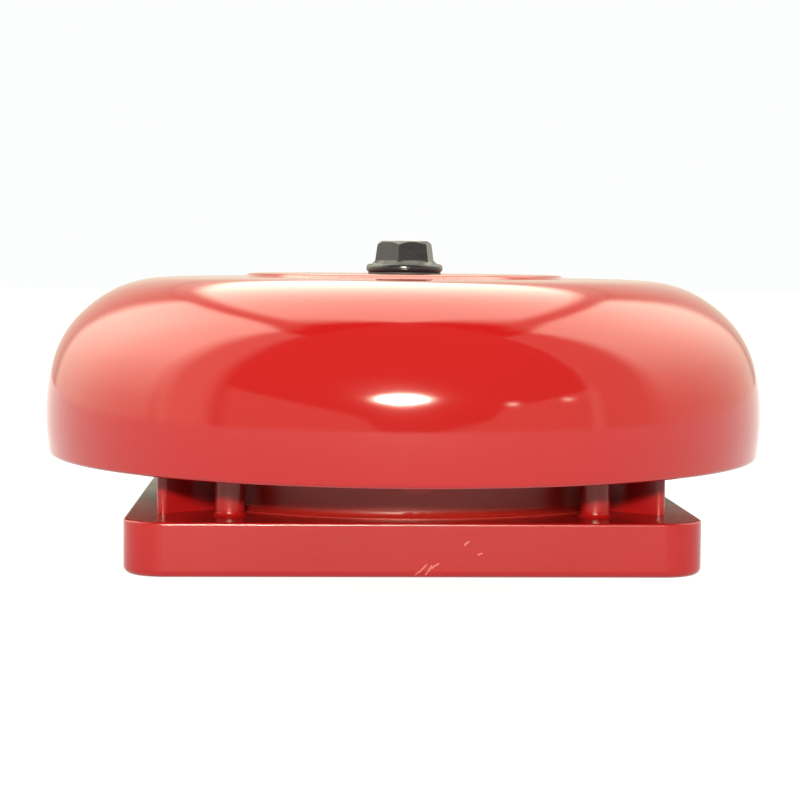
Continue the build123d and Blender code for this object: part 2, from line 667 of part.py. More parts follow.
with BuildPart() as crank_pin:
    with Locations((CRANK_X, CRANK_Y)):
        rod_up(PIN_R, PIN_Z, PIN_TOP_Z)
    chamfer(crank_pin.faces().sort_by(Axis.Z)[-1].edges(), PIN_EDGE)
save(crank_pin.part, "crank_pin")

with BuildPart() as crank_roller:
    with Locations((CRANK_X, CRANK_Y)):
        tube_up(ROLLER_R, PIN_R + ROLLER_RUN, ROLLER_Z, ROLLER_TOP_Z)
    rims = [
        edge
        for edge in crank_roller.edges().filter_by(GeomType.CIRCLE)
        if abs(edge.radius - ROLLER_R) < SAME
    ]
    fillet(rims, ROLLER_EDGE_R)
save(crank_roller.part, "crank_roller")

with BuildPart() as pin_clip:
    with Locations((CRANK_X, CRANK_Y)):
        tube_up(PIN_CLIP_R, PIN_R, PIN_CLIP_Z, PIN_CLIP_Z + PIN_CLIP_H)
        with Locations((0, 0, PIN_CLIP_Z)):
            Box(2 * PIN_CLIP_R, PIN_R, PIN_CLIP_H, align=SIDEWAYS, mode=Mode.SUBTRACT)
save(pin_clip.part, "pin_clip")

# Striker: rod, follower head with a domed tip and a spring flange, nose, clip and bumper
with BuildPart() as striker_rod:
    rod_out(ROD_R, HEAD_BACK, NOSE_START + NOSE_SOCKET)
save(striker_rod.part, "striker_rod")

with BuildPart() as follower_head:
    with Locations((0, -HEAD_TIP - HEAD_STEM_R, STRIKE_Z)):
        Sphere(HEAD_STEM_R)
    rod_out(HEAD_STEM_R, HEAD_TIP + HEAD_STEM_R, HEAD_FLANGE_START)
    rod_out(HEAD_FLANGE_R, HEAD_FLANGE_START, HEAD_BACK)
save(follower_head.part, "follower_head")

with BuildPart() as striker_nose:
    rod_out(NOSE_R, NOSE_START, NOSE_END)
    fillet(striker_nose.faces().sort_by(Axis.Y)[0].edges(), NOSE_R / 2)
    chamfer(striker_nose.faces().sort_by(Axis.Y)[-1].edges(), EDGE)
    rod_out(ROD_R, NOSE_START, NOSE_START + NOSE_SOCKET, Mode.SUBTRACT)
save(striker_nose.part, "striker_nose")

BUMPER_START = GUIDE_BOSS_END + STOP_GAP
with BuildPart() as rod_bumper:
    rod_out(BUMPER_R, BUMPER_START, BUMPER_START + BUMPER_H)
    rod_out(ROD_R, BUMPER_START, BUMPER_START + BUMPER_H, Mode.SUBTRACT)
save(rod_bumper.part, "rod_bumper")

CLIP_START = BUMPER_START + BUMPER_H
with BuildPart() as rod_clip:
    rod_out(CLIP_R, CLIP_START, CLIP_START + CLIP_H)
    rod_out(ROD_R, CLIP_START, CLIP_START + CLIP_H, Mode.SUBTRACT)
    with Locations((0, -CLIP_START, STRIKE_Z)):
        Box(ROD_R, 2 * CLIP_H, 2 * CLIP_R, align=(Align.CENTER, Align.CENTER, Align.MIN), mode=Mode.SUBTRACT)
save(rod_clip.part, "rod_clip")

# Guide bush pressed into the cover's boss, and the return spring between its flange and the head
BUSH_IN = GUIDE_PAD_IN - BUSH_FLANGE_H
with BuildPart() as guide_bush:
    rod_out(BUSH_FLANGE_R, BUSH_IN, GUIDE_PAD_IN)
    rod_out(BUSH_R, GUIDE_PAD_IN, GUIDE_BOSS_END)
    rod_out(ROD_R + ROD_RUN, BUSH_IN, GUIDE_BOSS_END, Mode.SUBTRACT)
save(guide_bush.part, "guide_bush")

SPRING_START = HEAD_BACK + SPRING_WIRE_R + SPRING_GAP
SPRING_LEN = BUSH_IN - SPRING_WIRE_R - SPRING_GAP - SPRING_START
with BuildPart() as return_spring:
    with BuildLine() as coil:
        Helix(
            SPRING_LEN / SPRING_TURNS,
            SPRING_LEN,
            SPRING_R,
            center=(0, -SPRING_START, STRIKE_Z),
            direction=(0, -1, 0),
        )
    with BuildSketch(Plane(origin=coil.line @ 0, z_dir=coil.line % 0)):
        Circle(SPRING_WIRE_R)
    sweep(path=coil.line, is_frenet=True)
save(return_spring.part, "return_spring")

# Circuit board on the base's four pillars
with BuildPart() as circuit_board:
    with BuildSketch(Plane.XY.offset(BOARD_Z)):
        with Locations((0, BOARD_MID_Y)):
            RectangleRounded(BOARD_X, BOARD_Y, BOARD_CORNER_R)
        with Locations(*BOARD_HOLES):
            Circle(M3_HOLE_R, mode=Mode.SUBTRACT)
    extrude(amount=BOARD_H)
save(circuit_board.part, "circuit_board")

with BuildPart() as board_screws:
    with Locations(*BOARD_HOLES):
        cross_headed_screw(BOARD_TOP_Z, BASE_H + EDGE, SCREW_CORE_R)
save(board_screws.part, "board_screws")

# Terminal block: wire holes face +Y and a screw well over each
with BuildPart() as terminal_block:
    with Locations((0, BLOCK_MID_Y, BOARD_TOP_Z)):
        Box(BLOCK_X, BLOCK_Y, BLOCK_H, align=UP)
    chamfer(terminal_block.faces().sort_by(Axis.Z)[-1].edges(), EDGE)
    for x in WAY_XS:
        with Locations(Location((x, BLOCK_MID_Y + BLOCK_Y / 2, WIRE_HOLE_Z), (90, 0, 0))):
            Cylinder(WIRE_HOLE_R, WIRE_HOLE_DEPTH, align=UP, mode=Mode.SUBTRACT)
        with Locations((x, BLOCK_MID_Y)):
            rod_up(TERMINAL_SCREW_R, BOARD_TOP_Z + TERMINAL_WELL, BOARD_TOP_Z + BLOCK_H, Mode.SUBTRACT)
save(terminal_block.part, "terminal_block")

with BuildPart() as terminal_screws:
    for x in WAY_XS:
        with Locations((x, BLOCK_MID_Y)):
            rod_up(TERMINAL_SCREW_R, BOARD_TOP_Z + TERMINAL_WELL, TERMINAL_TOP_Z)
        with Locations((x, BLOCK_MID_Y, TERMINAL_TOP_Z - SLOT_DEPTH)):
            Box(3 * TERMINAL_SCREW_R, SLOT_W, SLOT_DEPTH, align=UP, mode=Mode.SUBTRACT)
save(terminal_screws.part, "terminal_screws")

# Board components
with BuildPart() as capacitor:
    with Locations(CAPACITOR_AT):
        rod_up(CAPACITOR_R, BOARD_TOP_Z, BOARD_TOP_Z + CAPACITOR_H)
    fillet(capacitor.edges().filter_by(GeomType.CIRCLE), EDGE)
save(capacitor.part, "capacitor")

with BuildPart() as diodes:
    for i in range(4):
        x = DIODE_AT[0] + i * DIODE_PITCH
        z = BOARD_TOP_Z + DIODE_R + DIODE_LIFT
        with Locations(Location((x, DIODE_AT[1] + DIODE_LEN / 2, z), (90, 0, 0))):
            Cylinder(DIODE_R, DIODE_LEN, align=UP)
        with Locations(Location((x, DIODE_AT[1] + DIODE_SPAN, z), (90, 0, 0))):
            Cylinder(DIODE_LEAD_R, 2 * DIODE_SPAN, align=UP)
        with Locations((x, DIODE_AT[1] - DIODE_SPAN), (x, DIODE_AT[1] + DIODE_SPAN)):
            rod_up(DIODE_LEAD_R, BOARD_TOP_Z, z)
save(diodes.part, "diodes")

with BuildPart() as surge_suppressor:
    x, y = SUPPRESSOR_AT
    with Locations(Location((x, y, BOARD_TOP_Z + SUPPRESSOR_R + SUPPRESSOR_LIFT), (90, 0, 0))):
        Cylinder(SUPPRESSOR_R, SUPPRESSOR_T)
    fillet(surge_suppressor.edges().filter_by(GeomType.CIRCLE), SUPPRESSOR_EDGE_R)
    with Locations((x - SUPPRESSOR_PITCH / 2, y), (x + SUPPRESSOR_PITCH / 2, y)):
        rod_up(DIODE_LEAD_R, BOARD_TOP_Z, BOARD_TOP_Z + SUPPRESSOR_R / 2)
save(surge_suppressor.part, "surge_suppressor")

# Insulated leads from the motor tabs to the board
for label, (side, board_x) in LEAD_ENDS.items():
    tab_y = MOTOR_Y + side * TAB_Y
    tab = (TAB_OUT - 1, tab_y, TAB_Z + TAB_H + LEAD_R + LEAD_LIFT)
    board_end = (board_x, BOARD_MID_Y - BOARD_Y / 2 + LEAD_INSET, BOARD_TOP_Z + LEAD_R + LEAD_LIFT)
    with BuildPart() as lead:
        with BuildLine() as run:
            Spline(
                tab,
                (TAB_OUT + LEAD_BEND + side, tab_y + LEAD_BEND + 1, TAB_Z - LEAD_DROP),
                (board_x + LEAD_BEND, 1 + side, LEAD_LOW_Z),
                board_end,
                tangents=((1, 0.2, 0.1), (0, 1, -0.25)),
            )
        with BuildSketch(Plane(origin=run.line @ 0, z_dir=run.line % 0)):
            Circle(LEAD_R)
        sweep(path=run.line)
    save(lead.part, label)
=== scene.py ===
"""Looks for the fire alarm bell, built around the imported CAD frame. Metres throughout."""

import json
import math

import bmesh
import bpy
from mathutils import Matrix, Vector


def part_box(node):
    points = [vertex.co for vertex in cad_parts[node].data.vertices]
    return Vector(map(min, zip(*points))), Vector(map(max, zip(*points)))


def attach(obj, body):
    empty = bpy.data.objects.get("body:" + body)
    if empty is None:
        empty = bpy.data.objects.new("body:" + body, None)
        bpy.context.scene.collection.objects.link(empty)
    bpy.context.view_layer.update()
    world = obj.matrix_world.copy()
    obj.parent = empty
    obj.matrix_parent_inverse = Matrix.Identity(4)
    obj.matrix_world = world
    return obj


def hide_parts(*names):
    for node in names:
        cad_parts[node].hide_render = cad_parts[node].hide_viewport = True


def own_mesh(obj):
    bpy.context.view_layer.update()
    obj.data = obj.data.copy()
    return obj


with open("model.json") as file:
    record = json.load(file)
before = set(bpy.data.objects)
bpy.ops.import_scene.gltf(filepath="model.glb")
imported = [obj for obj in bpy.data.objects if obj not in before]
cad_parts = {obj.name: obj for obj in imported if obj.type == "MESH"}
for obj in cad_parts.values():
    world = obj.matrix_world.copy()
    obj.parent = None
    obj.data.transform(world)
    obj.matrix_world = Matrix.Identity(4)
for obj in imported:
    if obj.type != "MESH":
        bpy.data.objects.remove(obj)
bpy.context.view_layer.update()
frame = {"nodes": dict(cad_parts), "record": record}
NODES = frame["nodes"]
MM = 0.001


# ---------------------------------------------------------------- node helpers


class Graph:
    """A short way to write shader nodes. Values may be numbers, tuples or sockets."""

    def __init__(self, tree):
        self.tree = tree

    def node(self, kind, inputs=(), **settings):
        made = self.tree.nodes.new(kind)
        for key, value in settings.items():
            setattr(made, key, value)
        for key, value in dict(inputs).items():
            self.feed(made.inputs[key], value)
        return made

    def feed(self, socket, value):
        if isinstance(value, bpy.types.NodeSocket):
            self.tree.links.new(value, socket)
        else:
            socket.default_value = value

    def math(self, operation, *values):
        made = self.tree.nodes.new("ShaderNodeMath")
        made.operation = operation
        for i, value in enumerate(values):
            self.feed(made.inputs[i], value)
        return made.outputs[0]

    def add(self, *values):
        total = values[0]
        for value in values[1:]:
            total = self.math("ADD", total, value)
        return total

    def mul(self, *values):
        total = values[0]
        for value in values[1:]:
            total = self.math("MULTIPLY", total, value)
        return total

    def ramp(self, value, low, high, low_out=0.0, high_out=1.0):
        """A smooth step from low_out to high_out as value goes from low to high."""
        made = self.node(
            "ShaderNodeMapRange",
            {0: value, 1: low, 2: high, 3: low_out, 4: high_out},
            interpolation_type="SMOOTHSTEP",
        )
        return made.outputs[0]

    def mix(self, factor, first, second):
        made = self.tree.nodes.new("ShaderNodeMix")
        made.data_type = "RGBA"
        self.feed(made.inputs[0], factor)
        self.feed(made.inputs[6], first)
        self.feed(made.inputs[7], second)
        return made.outputs[2]

    def noise(self, vector, scale, detail=2.0, rough=0.5):
        made = self.node(
            "ShaderNodeTexNoise",
            {"Vector": vector, "Scale": scale, "Detail": detail, "Roughness": rough},
        )
        return made.outputs[0]

    def bump(self, height, strength, distance, normal=None):
        made = self.node("ShaderNodeBump", {"Height": height, "Strength": strength, "Distance": distance})
        if normal is not None:
            self.feed(made.inputs["Normal"], normal)
        return made.outputs[0]


def new_material(name):
    material = bpy.data.materials.new(name)
    material.use_nodes = True
    graph = Graph(material.node_tree)
    shader = material.node_tree.nodes["Principled BSDF"]
    coords = graph.node("ShaderNodeTexCoord").outputs["Object"]
    return material, graph, shader, coords


def rgb(r, g, b):
    return (r, g, b, 1.0)


# ---------------------------------------------------------------- materials


def red_enamel():
    """Glossy stoved enamel on pressed steel: slight orange peel, dust specks."""
    material, g, shader, at = new_material("red_enamel")
    drift = g.noise(at, 18.0, detail=3.0)
    colour = g.mix(drift, rgb(0.22, 0.0045, 0.005), rgb(0.24, 0.006, 0.006))
    specks = g.node("ShaderNodeTexVoronoi", {"Vector": at, "Scale": 260.0})
    dust = g.ramp(specks.outputs["Distance"], 0.055, 0.075, 1.0, 0.0)
    rare = g.ramp(g.noise(at, 45.0, detail=1.0), 0.66, 0.70)
    dust = g.mul(dust, rare, 0.35)
    colour = g.mix(dust, colour, rgb(0.52, 0.32, 0.29))
    g.feed(shader.inputs["Base Color"], colour)
    rough = g.add(0.06, g.mul(g.noise(at, 60.0, detail=4.0), 0.04), g.mul(dust, 0.5))
    g.feed(shader.inputs["Roughness"], rough)
    peel = g.noise(at, 700.0, detail=2.0)
    g.feed(shader.inputs["Normal"], g.bump(peel, 0.008, 0.0003))
    shader.inputs["IOR"].default_value = 1.49
    return material


FRONT_FACE_Y = -55.0 * MM


def scuff(g, at, place, tilt, length):
    """1 along a short worn line on the slab's front face, at place (x, z), rising by tilt radians."""
    x, y, z = g.node("ShaderNodeSeparateXYZ", {0: at}).outputs
    x, z = g.add(x, -place[0]), g.add(z, -place[1])
    on_front = g.ramp(y, FRONT_FACE_Y + 0.5 * MM, FRONT_FACE_Y + MM, 1.0, 0.0)
    along = g.add(g.mul(x, math.cos(tilt)), g.mul(z, math.sin(tilt)))
    wander = g.mul(g.add(g.noise(at, 900.0, detail=2.0), -0.5), 0.4 * MM)
    across = g.add(g.mul(x, -math.sin(tilt)), g.mul(z, math.cos(tilt)), wander)
    inside = g.ramp(g.math("ABSOLUTE", along), length * 0.35, length * 0.5, 1.0, 0.0)
    narrow = g.ramp(g.math("ABSOLUTE", across), 0.02 * MM, 0.22 * MM, 1.0, 0.0)
    return g.mul(on_front, inside, narrow)


def red_moulding(name, dark, light, roughness, scuffs=()):
    """Red moulded plastic: faint flow marks, a fine skin texture and a few scratches."""
    material, g, shader, at = new_material(name)
    flow = g.node("ShaderNodeMapping", {"Vector": at, "Scale": (1.0, 1.0, 3.0)}).outputs[0]
    colour = g.mix(g.noise(flow, 30.0, detail=3.0), dark, light)
    stretched = g.node(
        "ShaderNodeMapping",
        {"Vector": at, "Scale": (3.0, 3.0, 40.0), "Rotation": (0.3, 0.2, 0.5)},
    )
    lines = g.noise(stretched.outputs[0], 60.0, detail=6.0, rough=0.7)
    scratch = g.mul(g.ramp(lines, 0.68, 0.72), g.ramp(g.noise(at, 30.0, detail=1.0), 0.52, 0.62))
    colour = g.mix(g.mul(scratch, 0.35), colour, rgb(0.48, 0.22, 0.20))
    rough = g.add(roughness, g.mul(g.noise(at, 90.0, detail=4.0), 0.08), g.mul(scratch, 0.3))
    for place, tilt, length in scuffs:
        mark = scuff(g, at, place, tilt, length)
        colour = g.mix(g.mul(mark, 0.35), colour, rgb(0.50, 0.20, 0.18))
        rough = g.add(rough, g.mul(mark, 0.25))
        scratch = g.add(scratch, g.mul(mark, 0.5))
    g.feed(shader.inputs["Base Color"], colour)
    g.feed(shader.inputs["Roughness"], rough)
    skin = g.noise(at, 1100.0, detail=3.0)
    waves = g.noise(at, 160.0, detail=3.0)
    height = g.add(g.mul(waves, 0.6), g.mul(skin, 0.15), g.mul(scratch, -0.6))
    soft_edges = g.node("ShaderNodeBevel", {"Radius": 0.25 * MM}, samples=4).outputs[0]
    g.feed(shader.inputs["Normal"], g.bump(height, 0.05, 0.0004, soft_edges))
    shader.inputs["IOR"].default_value = 1.42
    return material


def satin_plastic(name, dark, light, roughness, ior=1.5):
    """Moulded plastic with a fine grain."""
    material, g, shader, at = new_material(name)
    colour = g.mix(g.noise(at, 120.0, detail=4.0), dark, light)
    g.feed(shader.inputs["Base Color"], colour)
    g.feed(shader.inputs["Roughness"], g.add(roughness, g.mul(g.noise(at, 300.0, detail=3.0), 0.10)))
    g.feed(shader.inputs["Normal"], g.bump(g.noise(at, 900.0, detail=3.0), 0.10, 0.0003))
    shader.inputs["IOR"].default_value = ior
    return material


MARKS_ACROSS_Z = (1.0, 1.0, 14.0)
MARKS_ALONG_Y = (14.0, 1.0, 14.0)
MARKS_ALONG_Z = (30.0, 30.0, 1.0)


def plated_metal(name, dark, light, roughness, stretch=MARKS_ACROSS_Z):
    """Plated or ground metal: stretched machining marks and stains."""
    material, g, shader, at = new_material(name)
    shader.inputs["Metallic"].default_value = 1.0
    marks = g.node("ShaderNodeMapping", {"Vector": at, "Scale": stretch}).outputs[0]
    lines = g.noise(marks, 500.0, detail=4.0, rough=0.6)
    stains = g.noise(at, 90.0, detail=4.0)
    g.feed(shader.inputs["Base Color"], g.mix(stains, dark, light))
    g.feed(shader.inputs["Roughness"], g.add(roughness, g.mul(lines, 0.16), g.mul(stains, 0.08)))
    g.feed(shader.inputs["Normal"], g.bump(lines, 0.08, 0.0002))
    return material


def matt_rubber(name, dark, light):
    """Dull rubber or pressed fibre with a coarse, soft grain."""
    material, g, shader, at = new_material(name)
    g.feed(shader.inputs["Base Color"], g.mix(g.noise(at, 200.0, detail=4.0), dark, light))
    g.feed(shader.inputs["Roughness"], g.add(0.55, g.mul(g.noise(at, 400.0, detail=3.0), 0.2)))
    g.feed(shader.inputs["Normal"], g.bump(g.noise(at, 1500.0, detail=3.0), 0.2, 0.0003))
    return material


# Worn marks low on the slab's front face: (x, z), tilt and length.
SCUFFS = [
    ((1.0 * MM, 1.6 * MM), 0.75, 3.4 * MM),
    ((2.4 * MM, 1.5 * MM), 0.95, 2.6 * MM),
    ((3.6 * MM, 2.3 * MM), 0.60, 2.0 * MM),
    ((9.5 * MM, 6.6 * MM), 0.80, 1.4 * MM),
    ((12.0 * MM, 4.6 * MM), 0.30, 1.1 * MM),
]
# Each family's finishes: the darkest and lightest colour, then the roughness.
RUBBERS = {
    "gasket_rubber": (rgb(0.012, 0.012, 0.012), rgb(0.03, 0.03, 0.03)),
    "grommet_rubber": (rgb(0.014, 0.014, 0.014), rgb(0.035, 0.034, 0.033)),
    "fibre": (rgb(0.25, 0.05, 0.03), rgb(0.33, 0.07, 0.045)),
}
METALS = {
    "zinc_steel": (rgb(0.50, 0.50, 0.48), rgb(0.68, 0.68, 0.65), 0.25),
    "zinc_screw": (rgb(0.55, 0.55, 0.53), rgb(0.72, 0.72, 0.70), 0.20),
    "nickel_steel": (rgb(0.60, 0.58, 0.54), rgb(0.72, 0.70, 0.66), 0.18),
    "ground_steel": (rgb(0.58, 0.58, 0.58), rgb(0.72, 0.72, 0.72), 0.15, MARKS_ALONG_Y),
    "spring_steel": (rgb(0.45, 0.45, 0.46), rgb(0.60, 0.60, 0.61), 0.22),
    "lamination_steel": (rgb(0.12, 0.12, 0.13), rgb(0.25, 0.25, 0.26), 0.45),
    "brass": (rgb(0.72, 0.50, 0.20), rgb(0.84, 0.62, 0.28), 0.20),
    "bronze": (rgb(0.50, 0.33, 0.15), rgb(0.66, 0.45, 0.22), 0.35),
    "copper_wire": (rgb(0.62, 0.24, 0.10), rgb(0.80, 0.36, 0.18), 0.25, MARKS_ALONG_Z),
}
PLASTICS = {
    "black_plastic": (rgb(0.006, 0.006, 0.008), rgb(0.014, 0.015, 0.019), 0.17, 1.47),
    "ferrite": (rgb(0.04, 0.04, 0.045), rgb(0.08, 0.08, 0.085), 0.55),
    "motor_plastic": (rgb(0.72, 0.71, 0.66), rgb(0.82, 0.81, 0.77), 0.40),
    "wheel_plastic": (rgb(0.68, 0.67, 0.62), rgb(0.78, 0.77, 0.72), 0.42),
    "roller_plastic": (rgb(0.02, 0.02, 0.024), rgb(0.05, 0.05, 0.055), 0.40),
    "board": (rgb(0.012, 0.11, 0.035), rgb(0.02, 0.17, 0.055), 0.30),
    "block_plastic": (rgb(0.03, 0.22, 0.08), rgb(0.045, 0.29, 0.11), 0.35),
    "capacitor_sleeve": (rgb(0.015, 0.02, 0.07), rgb(0.03, 0.04, 0.11), 0.25),
    "diode_body": (rgb(0.015, 0.015, 0.015), rgb(0.04, 0.04, 0.04), 0.35),
    "suppressor": (rgb(0.01, 0.07, 0.30), rgb(0.02, 0.11, 0.40), 0.30),
    "red_wire": (rgb(0.42, 0.012, 0.012), rgb(0.52, 0.02, 0.02), 0.35),
    "black_wire": (rgb(0.012, 0.012, 0.012), rgb(0.03, 0.03, 0.03), 0.35),
}
BASE_RED = (rgb(0.19, 0.0032, 0.0038), rgb(0.22, 0.0045, 0.005), 0.20)
COVER_RED = (rgb(0.215, 0.007, 0.005), rgb(0.245, 0.009, 0.006), 0.34)

MATERIALS = {"red_enamel": red_enamel(), "red_moulding": red_moulding("red_moulding", *BASE_RED, SCUFFS)}
for finishes, make in ((RUBBERS, matt_rubber), (METALS, plated_metal), (PLASTICS, satin_plastic)):
    for name, look in finishes.items():
        MATERIALS[name] = make(name, *look)

SLOT_OF = {part["node"]: part["material_slot"] for part in frame["record"]["subparts"]}
for name, piece in NODES.items():
    piece.data.materials.clear()
    piece.data.materials.append(MATERIALS[SLOT_OF[name]])

# The cover is a duller moulding than the base.
NODES["mechanism_cover"].data.materials[0] = red_moulding("cover_moulding", *COVER_RED)


# ---------------------------------------------------------------- detail geometry


def add_piece(name, mesh, body, slot):
    """A new piece that rides on a body and wears one of the record's slots."""
    piece = bpy.data.objects.new(name, mesh)
    bpy.context.scene.collection.objects.link(piece)
    mesh.materials.clear()
    mesh.materials.append(MATERIALS[slot])
    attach(piece, body)
    return piece


def lathe(name, profile, turns, centres=((0.0, 0.0),)):
    """A mesh of revolution about +Z, once round each centre, from a closed run of (radius, height)."""
    made = bmesh.new()
    count = len(profile)
    for cx, cy in centres:
        rings = []
        for i in range(turns):
            angle = 2 * math.pi * i / turns
            spots = [(cx + r * math.cos(angle), cy + r * math.sin(angle), z) for r, z in profile]
            rings.append([made.verts.new(spot) for spot in spots])
        for i in range(turns):
            here, following = rings[i], rings[(i + 1) % turns]
            for j in range(count):
                k = (j + 1) % count
                made.faces.new((here[j], following[j], following[k], here[k]))
    bmesh.ops.recalc_face_normals(made, faces=made.faces)
    for face in made.faces:
        face.smooth = True
    mesh = bpy.data.meshes.new(name)
    made.to_mesh(mesh)
    made.free()
    return mesh


def smooth_run(points, steps):
    """A smooth curve through the points, with steps pieces from each point to the next."""
    spots = [Vector(point) for point in points]
    spans = [(spots[i + 1] - spots[i]).length for i in range(len(spots) - 1)]
    slopes = [(spots[i + 1] - spots[i]) / spans[i] for i in range(len(spans))]
    tangents = [slopes[0]]
    for i in range(1, len(spans)):
        tangents.append((slopes[i - 1] * spans[i] + slopes[i] * spans[i - 1]) / (spans[i - 1] + spans[i]))
    tangents.append(slopes[-1])
    run = []
    for i, span in enumerate(spans):
        for j in range(steps):
            t = j / steps
            run.append(
                spots[i] * (2 * t**3 - 3 * t**2 + 1)
                + tangents[i] * span * (t**3 - 2 * t**2 + t)
                + spots[i + 1] * (3 * t**2 - 2 * t**3)
                + tangents[i + 1] * span * (t**3 - t**2)
            )
    run.append(spots[-1])
    return run


def offset_left(run, gap):
    """The same run moved to its left by gap."""
    moved = []
    for i, point in enumerate(run):
        along = (run[min(i + 1, len(run) - 1)] - run[max(i - 1, 0)]).normalized()
        moved.append(point + Vector((-along.y, along.x)) * gap)
    return moved


# Gong: the CAD shell's section with its raised centre's step rounded, turned finely for clean reflections.
RIM_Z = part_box("gong")[0][2]
SHEET_T = 1.9 * MM
RUN_STEPS = 8
GONG_TURNS = 288
GONG_SECTION = [
    (74.5, 0.9), (75, 6), (74.95, 11.5), (74.2, 17.2), (72.6, 22.2), (69.9, 26.8),
    (66, 30.8), (61.2, 34), (55.5, 36), (48, 36.8), (42, 36.92), (36.2, 36.97),
    (34, 37.12), (33.4, 37.25), (33, 37.52), (32.5, 37.6), (26, 37.6), (12, 37.6), (3.3, 37.6),
]
outside = smooth_run([(r * MM, RIM_Z + z * MM) for r, z in GONG_SECTION], RUN_STEPS)
inside = offset_left(outside, SHEET_T)
LIP_STEPS = 10
lip_centre = (outside[0] + inside[0]) / 2
lip_out = outside[0] - lip_centre
lip = []
for i in range(1, LIP_STEPS):
    swing = math.pi * i / LIP_STEPS
    x = lip_out.length * math.cos(swing)
    z = -min(lip_out.length * math.sin(swing), lip_centre.y - RIM_Z)
    lip.append(Vector((lip_centre.x + x, lip_centre.y + z)))
section = list(reversed(outside)) + lip + inside
gong_piece = add_piece("gong_shell", lathe("gong_shell", section, GONG_TURNS), "housing", "red_enamel")
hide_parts("gong")

# Return spring: a copy of the CAD coil, riding on the housing against the guide bush.
spring_piece = add_piece("return_coil", NODES["return_spring"].data.copy(), "housing", "spring_steel")
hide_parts("return_spring")
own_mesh(spring_piece)

# Moulded fillets where the posts grow out of the slab.
SLAB_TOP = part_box("mechanism_cover")[0][2]
POST_X, POST_Y = 35.1 * MM, 43.5 * MM
POST_R, FILLET_R = 2.9 * MM, 0.95 * MM
POSTS = [(sx * POST_X, sy * POST_Y) for sx in (-1, 1) for sy in (-1, 1)]
FILLET_STEPS = 10
FILLET_TURNS = 64
SUNK = 0.1 * MM
fillet_run = [(POST_R - 2 * SUNK, SLAB_TOP - SUNK), (POST_R - 2 * SUNK, SLAB_TOP + FILLET_R)]
for i in range(FILLET_STEPS + 1):
    swing = math.pi / 2 * i / FILLET_STEPS
    fillet_run.append(
        (POST_R + FILLET_R * (1 - math.cos(swing)), SLAB_TOP + FILLET_R * (1 - math.sin(swing)))
    )
fillet_run.append((POST_R + FILLET_R, SLAB_TOP - SUNK))
fillet_mesh = lathe("post_fillets", fillet_run, FILLET_TURNS, POSTS)
add_piece("post_fillets", fillet_mesh, "housing", "red_moulding")
RING_STEPS = 6


def ring_mark(radius, bore, base_z, height):
    """A low round-topped ring's section, with its foot sunk slightly into the face it stands on."""
    sink = math.copysign(SUNK, height)
    middle, half = (radius + bore) / 2, (radius - bore) / 2
    run = [(bore, base_z - sink)]
    for i in range(RING_STEPS + 1):
        swing = math.pi * i / RING_STEPS
        run.append((middle - half * math.cos(swing), base_z + height * math.sin(swing)))
    run.append((radius, base_z - sink))
    return run


# Ejector marks under the slab.
SLAB_WALL = 2.5 * MM
CEILING_Z = SLAB_TOP - SLAB_WALL
EJECTOR_R, EJECTOR_W, EJECTOR_H = 2.6 * MM, 0.35 * MM, 0.18 * MM
EJECTOR_TURNS = 48
EJECTORS = [(sx * 13 * MM, y * MM) for sx in (-1, 1) for y in (-40, -13, 13)]
EJECTORS += [(sx * 40 * MM, sy * 13 * MM) for sx in (-1, 1) for sy in (-1, 1)]
ejector_section = ring_mark(EJECTOR_R, EJECTOR_R - EJECTOR_W, CEILING_Z, -EJECTOR_H)
ejector_mesh = lathe("ejector_marks", ejector_section, EJECTOR_TURNS, EJECTORS)
add_piece("ejector_marks", ejector_mesh, "housing", "red_moulding")


# ---------------------------------------------------------------- surroundings

# World: a white tent with a dark open front, seen mostly as reflections. The camera sees plain white.
world = bpy.data.worlds.new("tent")
bpy.context.scene.world = world
world.use_nodes = True
g = Graph(world.node_tree)
way = g.node("ShaderNodeSeparateXYZ", {0: g.node("ShaderNodeTexCoord").outputs["Generated"]})
dx, dy, dz = way.outputs
DEGREES = 180.0 / math.pi
azimuth = g.mul(g.math("ARCTAN2", dx, g.mul(dy, -1.0)), DEGREES)
elevation = g.mul(g.math("ARCSINE", g.math("MINIMUM", g.math("MAXIMUM", dz, -1.0), 1.0)), DEGREES)
around = g.math("ABSOLUTE", azimuth)


def band(value, low, high, soft_low, soft_high):
    """1 between low and high, falling smoothly to 0 outside over the soft widths."""
    rise = g.ramp(value, low - soft_low, low + soft_low)
    fall = g.ramp(value, high - soft_high, high + soft_high, 1.0, 0.0)
    return g.mul(rise, fall)


def spot(at, height, wide, tall, power):
    """A small soft lamp."""
    across = g.mul(g.add(azimuth, -at), 1.0 / wide)
    upward = g.mul(g.add(elevation, -height), 1.0 / tall)
    far = g.add(g.mul(across, across), g.mul(upward, upward))
    return g.mul(g.math("POWER", math.e, g.mul(far, -1.0)), power)


# Directions are in degrees. Azimuth 0 is -Y and grows towards +X.
OPEN_FROM, OPEN_TO = 57.0, 63.0
LEFT_FILL_FROM, LEFT_WALL_FROM = 63.0, 84.0
RIGHT_FILL_FROM, RIGHT_WALL_FROM = 57.5, 82.0
WALLS_END = 151.0
SIDE_TOP, TOP_FALLS_FROM, TOP_FALL = 66.0, 95.0, 0.0078

past = g.math("MAXIMUM", g.add(around, -TOP_FALLS_FROM), 0.0)
side_top = g.add(SIDE_TOP, g.mul(past, past, -TOP_FALL))
above = g.add(elevation, g.mul(side_top, -1.0))
below_edge = g.ramp(above, -2.5, 0.5, 1.0, 0.0)
over_edge = g.ramp(above, 2.0, 7.0)
in_front = g.ramp(around, OPEN_FROM, OPEN_TO, 1.0, 0.0)

